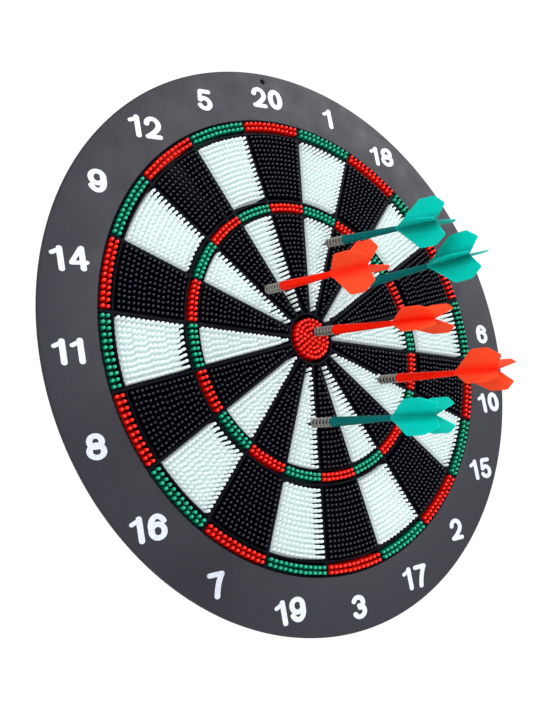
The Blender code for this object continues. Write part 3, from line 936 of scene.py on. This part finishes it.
def add_pins(shape, places, radius, root, sector=None):
    """Domed pins, slightly uneven, and bent aside where a dart's nose stands between them."""
    top = parted(places, radius, sector)
    bent = np.linalg.norm(top - places, axis=1) > LEAST_BEND
    turns = 2 * math.pi * np.arange(PIN_SIDES) / PIN_SIDES
    circle = np.stack((np.sin(turns), np.cos(turns)), axis=1) * radius
    for chosen, bends in ((~bent, 0), (bent, BENT_LEVELS)):
        group = places[chosen]
        if not len(group):
            continue
        lean = RANDOM.normal(0, PIN_LEAN, group.shape)
        height = RANDOM.normal(0, PIN_UNEVEN, len(group)).clip(-2 * PIN_UNEVEN, 0)
        levels = pin_levels(radius, root, bends)
        rings = []
        for below, share in levels:
            stand = PIN_STAND - below
            rise = (stand - root) / (PIN_STAND - root)
            middles = group + (top[chosen] - group) * rise
            if bends and TIP_TOUCH < below:
                middles = pushed_out(middles, stand, radius)
                if sector is not None:
                    middles = kept_in_cell(middles, sector, radius - OVER_RIB * rise)
            middles = middles + lean * rise
            ring = middles[:, None, :] + circle[None] * share
            stands = np.broadcast_to((stand + height * rise)[:, None], ring.shape[:2])
            rings.append(np.stack((ring[..., 0], -stands, ring[..., 1]), axis=2))
        tips = np.stack((middles[:, 0], -(PIN_STAND + height), middles[:, 1]), axis=1)[:, None]
        points = np.concatenate(rings + [tips], axis=1)
        faces = pin_faces(len(levels))
        each = points.shape[1]
        for index in range(len(group)):
            start = len(shape.points) + index * each
            shape.faces.extend(tuple(start + corner for corner in face) for face in faces)
        shape.points.extend(map(tuple, points.reshape(-1, 3)))


def pin_faces(levels):
    """Faces of one pin: its hidden end, its sides and the fan at its tip."""
    faces = [tuple(range(PIN_SIDES))]
    for level in range(levels - 1):
        for side in range(PIN_SIDES):
            after = (side + 1) % PIN_SIDES
            low = level * PIN_SIDES
            faces.append((low + side, low + after, low + PIN_SIDES + after, low + PIN_SIDES + side))
    last = (levels - 1) * PIN_SIDES
    tip = levels * PIN_SIDES
    faces += [(last + side, last + (side + 1) % PIN_SIDES, tip) for side in range(PIN_SIDES)]
    return faces


def make_single_pad(sector, name, band, rows, slot, replaced):
    """One sector's pins inside or outside the triple ring, on their foot plate."""
    pad = Shape()
    pad.prism(sector_outline(sector, band, FOOT_SIDE), PAD_FOOT, PAD_FOOT + FOOT_THICKNESS)
    add_pins(pad, single_places(sector, rows), SINGLE_PIN, PAD_FOOT + PIN_ROOT, sector)
    piece = place_mesh(name, pad.mesh(name))
    finish_piece(piece, BOARD, slot, replaced, sharp=50)


def make_white_pads():
    """The white sectors' pads, each a moulding of its own."""
    for sector in range(1, SECTORS, 2):
        number = str(NUMBERS[sector])
        for part, band, rows in (("outer", OUTER_PAD, OUTER_ROWS), ("inner", INNER_PAD, INNER_ROWS)):
            node = "white_" + part + "_pad_" + number
            make_single_pad(sector, "white_" + part + "_pins_" + number, band, rows, "pin_white", [node])


def make_black_pads():
    """The black sectors' pins, which are one moulding with the mat under them."""
    for part, band, rows in (("outer", OUTER_PAD, OUTER_ROWS), ("inner", INNER_PAD, INNER_ROWS)):
        pad = Shape()
        for sector in range(0, SECTORS, 2):
            pad.prism(sector_outline(sector, band, PAD_SIDE), MAT_TOP - MAT_ROOT, PAD_FOOT + FOOT_THICKNESS)
            add_pins(pad, single_places(sector, rows), SINGLE_PIN, PAD_FOOT + PIN_ROOT, sector)
        name = "black_" + part + "_pins"
        replaced = ["black_pin_mat"] if part == "outer" else []
        finish_piece(place_mesh(name, pad.mesh(name)), BOARD, "pin_black", replaced, sharp=50)


def make_scoring_ring(node, band, carrier, first, rows, pins, pin_radius, slot):
    """Ten two-row pads of one colour and the carrier ring that joins them under the ribs."""
    ring = Shape()
    low, high = PAD_FOOT, PAD_FOOT + CARRIER_HEIGHT
    far = carrier + CARRIER_WIDTH
    profile = ((carrier, low), (carrier, high), (far, high), (far, low))
    ring.turned(profile, board_point, GRID_STEPS, joined=True)
    for sector in range(first, SECTORS, 2):
        ring.prism(sector_outline(sector, band, PAD_SIDE), RING_PAD_FOOT, RING_PAD_FOOT + FOOT_THICKNESS)
        foot = sector_outline(sector, (carrier + FOOT_INSET, far - FOOT_INSET), PAD_SIDE + FOOT_INSET)
        ring.prism(foot, high - FOOT_OVERLAP, RING_PAD_FOOT + FOOT_OVERLAP)
        add_pins(ring, ring_places(sector, rows, pins), pin_radius, RING_PAD_FOOT + PIN_ROOT)
    name = node.replace("_ring", "_pins")
    finish_piece(place_mesh(name, ring.mesh(name)), BOARD, slot, [node], sharp=50)


def make_scoring_rings():
    """The double and the triple ring, each of a red and a green moulding."""
    sets = (
        ("double", DOUBLE_PAD, DOUBLE_ROWS, DOUBLE_PINS, DOUBLE_PIN),
        ("triple", TRIPLE_PAD, TRIPLE_ROWS, TRIPLE_PINS, TRIPLE_PIN),
    )
    for ring, band, rows, pins, radius in sets:
        inner = band[0] + CARRIER_INSET
        outer = band[1] - CARRIER_INSET - CARRIER_WIDTH
        make_scoring_ring("red_" + ring + "_ring", band, inner, 0, rows, pins, radius, "pin_red")
        make_scoring_ring("green_" + ring + "_ring", band, outer, 1, rows, pins, radius, "pin_green")


def make_bull():
    """The bull's round pad of red pins."""
    bull = Shape()
    profile = ((BULL_RADIUS, PAD_FOOT), (BULL_RADIUS, PAD_FOOT + FOOT_THICKNESS))
    bull.turned(profile, board_point, BULL_STEPS, capped=True)
    add_pins(bull, bull_places(), BULL_PIN, PAD_FOOT + PIN_ROOT)
    piece = place_mesh("bullseye_pins", bull.mesh("bullseye_pins"))
    finish_piece(piece, BOARD, "pin_red", ["bullseye_pad"], sharp=50)


# ---------------------------------------------------------------- darts


def ridge_outline(along):
    """Full round of the tip between two slots."""
    return [(TIP_RADIUS, turn, along) for turn in TIP_TURNS]


def slot_outline(along, web):
    """Where slots from two opposite sides leave a flat web across the tip."""
    outline = []
    for turn in TIP_TURNS:
        reach = WEB_HALF_WIDTH / max(abs(math.sin(turn - web)), WEB_HALF_WIDTH / WEB_RADIUS)
        outline.append((reach, turn, along))
    return outline


def make_tip(body, place):
    """Soft slotted tip with its tapering nose between the pins."""
    web = math.radians(TIP_WEBS[body])
    round_tip = (
        (NOSE_RADIUS - NOSE_ROUND, -NOSE_DEPTH),
        (NOSE_RADIUS, NOSE_ROUND - NOSE_DEPTH),
        (SHOULDER_RADIUS, -SHOULDER_DEPTH),
        (TIP_RADIUS, 0),
    )
    outlines = [[(radius, turn, along) for turn in TIP_TURNS] for radius, along in round_tip]
    for groove in range(TIP_GROOVES):
        start = GROOVE_START + groove * GROOVE_PITCH
        end = start + GROOVE_WIDTH
        outlines.append(ridge_outline(start - GROOVE_EDGE))
        outlines.append(slot_outline(start + GROOVE_EDGE, web))
        outlines.append(slot_outline(end - GROOVE_EDGE, web))
        outlines.append(ridge_outline(end + GROOVE_EDGE))
    outlines.append(ridge_outline(TIP_LENGTH - TIP_END_ROUND))
    outlines.append([(TIP_RADIUS - TIP_END_ROUND, turn, TIP_LENGTH) for turn in TIP_TURNS])
    tip = Shape()
    tip.loops([[axis_point(*corner) for corner in outline] for outline in outlines], capped=True)
    piece = place_mesh(body + "_soft_tip", tip.mesh("tip"), place)
    finish_piece(piece, body, "tip_grey", [body + "_tip"])


def make_shaft(body, place, colour):
    """Tapering shaft with a rounded front lip, running into the flight's spine."""
    lip = rounding(SHAFT_FRONT_ROUND, 7)
    profile = [(SHAFT_FRONT_RADIUS - inset, SHAFT_START + drop) for inset, drop in lip]
    profile.append((SHAFT_REAR_RADIUS, FLIGHT_START - SHAFT_END_GAP))
    shaft = Shape()
    shaft.turned(profile, axis_point, DART_STEPS, capped=True)
    piece = place_mesh(body + "_barrel", shaft.mesh("barrel"), place)
    finish_piece(piece, body, "shaft_" + colour, [body + "_shaft"])


def rounded_outline(corners, size, steps=4):
    """Outline of (along, out, rounded) corners, the rounded ones cut back by a curve."""
    points = []
    count = len(corners)
    for index, (along, out, rounded) in enumerate(corners):
        corner = Vector((along, out))
        if not rounded:
            points.append(corner)
            continue
        before = Vector(corners[index - 1][:2])
        after = Vector(corners[(index + 1) % count][:2])
        start = corner + (before - corner).normalized() * size
        end = corner + (after - corner).normalized() * size
        for step in range(steps + 1):
            share = step / steps
            points.append((1 - share) ** 2 * start + 2 * share * (1 - share) * corner + share ** 2 * end)
    return points


def vane_solid(turn):
    """One thin vane, thicker at its root, with softened corners."""
    corners = (
        (VANE_START[0], VANE_FOOT, False),
        (*VANE_START, False),
        (*LEAD_CORNER, True),
        (*TOP_CORNER, True),
        (*TAIL_CORNER, True),
        (NOTCH, SPINE_REAR_RADIUS, False),
        (NOTCH - NOTCH_SLOPE, VANE_FOOT, False),
    )
    outline = rounded_outline(corners, VANE_CORNER_CUT)
    turned = Matrix.Rotation(-turn, 3, "Z")
    loops = []
    middle = sum(outline, Vector((0, 0))) / len(outline)
    for side, inset in ((-1, VANE_EDGE), (-1, 0), (1, 0), (1, VANE_EDGE)):
        half = VANE_THICKNESS / 2 - (0 if inset else VANE_EDGE)
        loop = []
        for point in outline:
            along, out = point + (middle - point).normalized() * inset
            loop.append(turned @ Vector((side * half, out, along)))
        loops.append(loop)
    vane = Shape()
    vane.loops(loops, capped=True)
    return place_mesh("vane", vane.mesh("vane"))


def root_web(turn):
    """Slim wedge that thickens a vane where it leaves the spine."""
    half = VANE_ROOT_THICKNESS / 2
    thin = VANE_THICKNESS / 2 - 0.05 * MM
    turned = Matrix.Rotation(-turn, 3, "Z")
    loops = []
    for along, size in ((WEB_START, 1.0), (WEB_END, WEB_END_SHARE)):
        wide, reach = half * size, WEB_REACH * size
        section = ((-wide, WEB_FOOT), (-thin, reach), (thin, reach), (wide, WEB_FOOT))
        loops.append([turned @ Vector((across, out, along)) for across, out in section])
    web = Shape()
    web.loops(loops, capped=True)
    return place_mesh("web", web.mesh("web"))


def make_flight(body, place, colour):
    """Four vanes on the tapering end of the dart."""
    spine = Shape()
    profile = (
        (SHAFT_REAR_RADIUS, FLIGHT_START),
        (SPINE_REAR_RADIUS, SPINE_END),
        (SPINE_TAIL_RADIUS, NOTCH),
    )
    spine.turned(profile, axis_point, DART_STEPS, capped=True)
    flight = place_mesh(body + "_vanes", spine.mesh("vanes"))
    for turn in vane_turns(body, place):
        cut(flight, vane_solid(turn), "UNION")
        cut(flight, root_web(turn), "UNION")
    flight.matrix_world = place
    finish_piece(flight, body, "flight_" + colour, [body + "_flight"], sharp=25)


def make_darts():
    for body, place in DARTS.items():
        colour = body.split("_")[0]
        make_tip(body, place)
        make_shaft(body, place, colour)
        make_flight(body, place, colour)


# ---------------------------------------------------------------- stage


def make_floor():
    """Pale round studio floor, well below the hanging board; its rim glows as white as the room."""
    floor = Shape()
    floor.turned(FLOOR_PROFILE, axis_point, FLOOR_STEPS, capped=True)
    disc = place_mesh("floor", floor.mesh("floor"), Matrix.Translation(FLOOR_AT))
    nodes = Nodes("floor")
    tone = nodes.mixed(nodes.noise(0.2, 2), (0.86, 0.86, 0.86), (0.9, 0.9, 0.9))
    nodes.link(tone, nodes.shader.inputs["Base Color"])
    nodes.shader.inputs["Roughness"].default_value = 0.9
    nodes.shader.inputs["Emission Color"].default_value = (1, 1, 1, 1)
    glow = nodes.ranged(nodes.away_from_axis(), 0.45, 0.95, 0, 0.35)
    nodes.link(glow, nodes.shader.inputs["Emission Strength"])
    disc.data.materials.append(nodes.material)


def add_light(name, at, size, power):
    """Round lamp that looks at the middle of the board."""
    lamp = bpy.data.lights.new(name, "AREA")
    lamp.shape = "DISK"
    lamp.size = size
    lamp.energy = power
    thing = bpy.data.objects.new(name, lamp)
    bpy.context.scene.collection.objects.link(thing)
    thing.location = at
    thing.rotation_euler = (-Vector(at)).to_track_quat("-Z", "Y").to_euler()


def make_lights():
    """Soft even light from a white studio, with a broad key from the upper right."""
    world = bpy.data.worlds.new("studio")
    bpy.context.scene.world = world
    world.use_nodes = True
    tree = world.node_tree
    background = tree.nodes["Background"]
    background.inputs["Color"].default_value = (1, 1, 1, 1)
    seen = tree.nodes.new("ShaderNodeLightPath").outputs["Is Camera Ray"]
    strength = tree.nodes.new("ShaderNodeMapRange")
    strength.inputs["To Min"].default_value = 0.7
    strength.inputs["To Max"].default_value = 1.05
    tree.links.new(seen, strength.inputs["Value"])
    tree.links.new(strength.outputs["Result"], background.inputs["Strength"])
    add_light("key", at=(1.5, -1.3, 1.0), size=0.7, power=46)
    add_light("fill", at=(-1.3, -1.0, 0.5), size=1.0, power=16)


def make_camera():
    camera = bpy.data.cameras.new("camera")
    camera.lens = CAMERA_LENS
    thing = bpy.data.objects.new("camera", camera)
    bpy.context.scene.collection.objects.link(thing)
    pan = Matrix.Rotation(math.radians(-CAMERA_PAN), 4, "Z")
    tilt = Matrix.Rotation(math.radians(90 + CAMERA_TILT), 4, "X")
    roll = Matrix.Rotation(math.radians(CAMERA_ROLL), 4, "Z")
    thing.matrix_world = Matrix.Translation(CAMERA_AT) @ pan @ tilt @ roll
    bpy.context.scene.camera = thing


MATERIALS = {
    **make_plastics(),
    **make_rubbers(),
    **make_sheets(),
    # the tip's second colour is the painted shade in its slots
    "tip_grey": tip_rubber("tip_grey", (0.20, 0.195, 0.18), (0.003, 0.003, 0.003)),
}
make_camera()
make_lights()
make_floor()
make_number_ring()
make_numbers()
make_spider_grid()
make_mat()
make_tray()
make_white_pads()
make_black_pads()
make_scoring_rings()
make_bull()
make_darts()
bpy.context.scene.view_settings.view_transform = "Standard"
